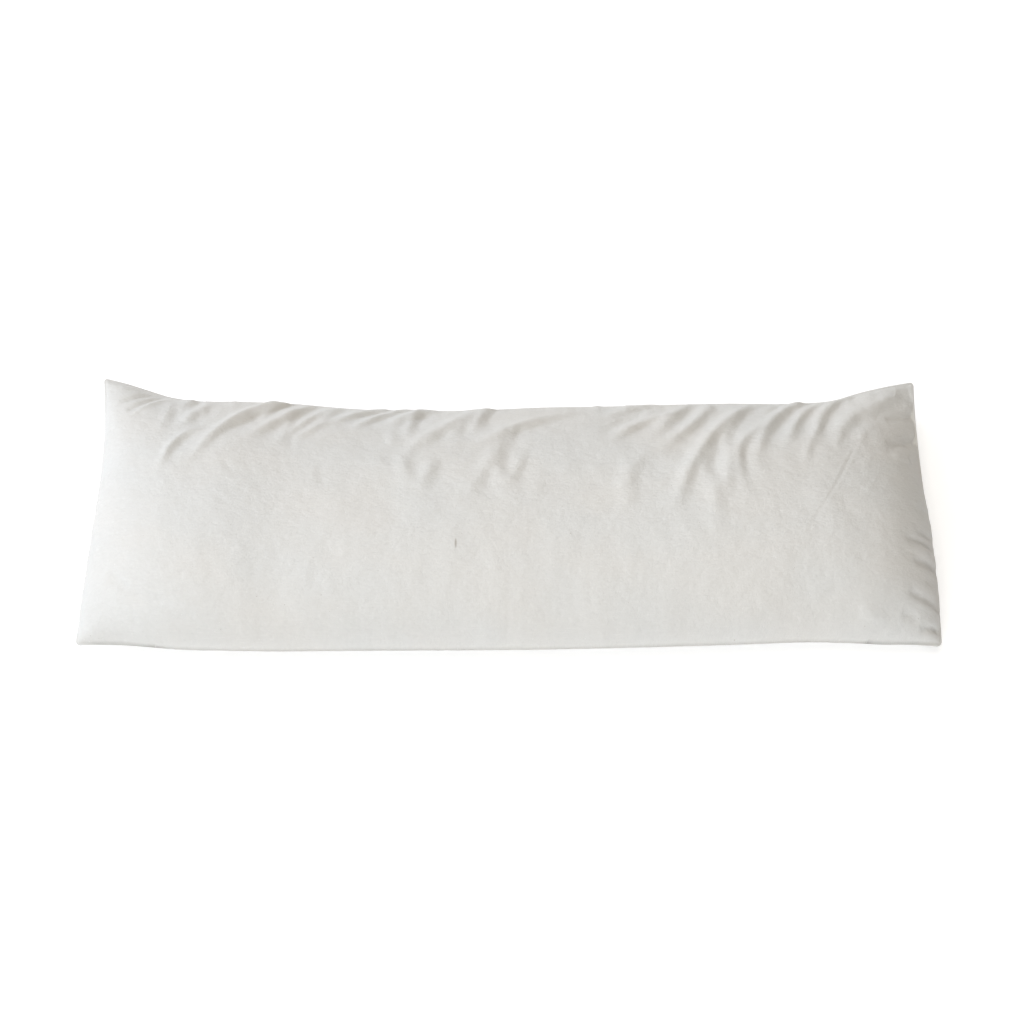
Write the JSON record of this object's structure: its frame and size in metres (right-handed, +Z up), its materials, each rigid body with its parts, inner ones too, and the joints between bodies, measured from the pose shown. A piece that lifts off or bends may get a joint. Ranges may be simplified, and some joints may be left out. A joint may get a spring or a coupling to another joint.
{
  "type": "body pillow",
  "caption": "Long filled pillow with knife-edge seams, lying on its back, full along one side and drawn into soft folds along the other.",
  "frame": {"origin": "under the middle of the pillow's box, on the surface that it lies on", "axes": "+X along the pillow, +Y across it from the full near side to the folded far side, +Z up"},
  "size_m": [1.338, 0.476, 0.162],
  "materials": {
    "off_white_cotton": "matt unbleached plain-weave cotton with small flecks"
  },
  "bodies": {
    "root": {"pillow": "off_white_cotton"}
  },
  "joints": []
}
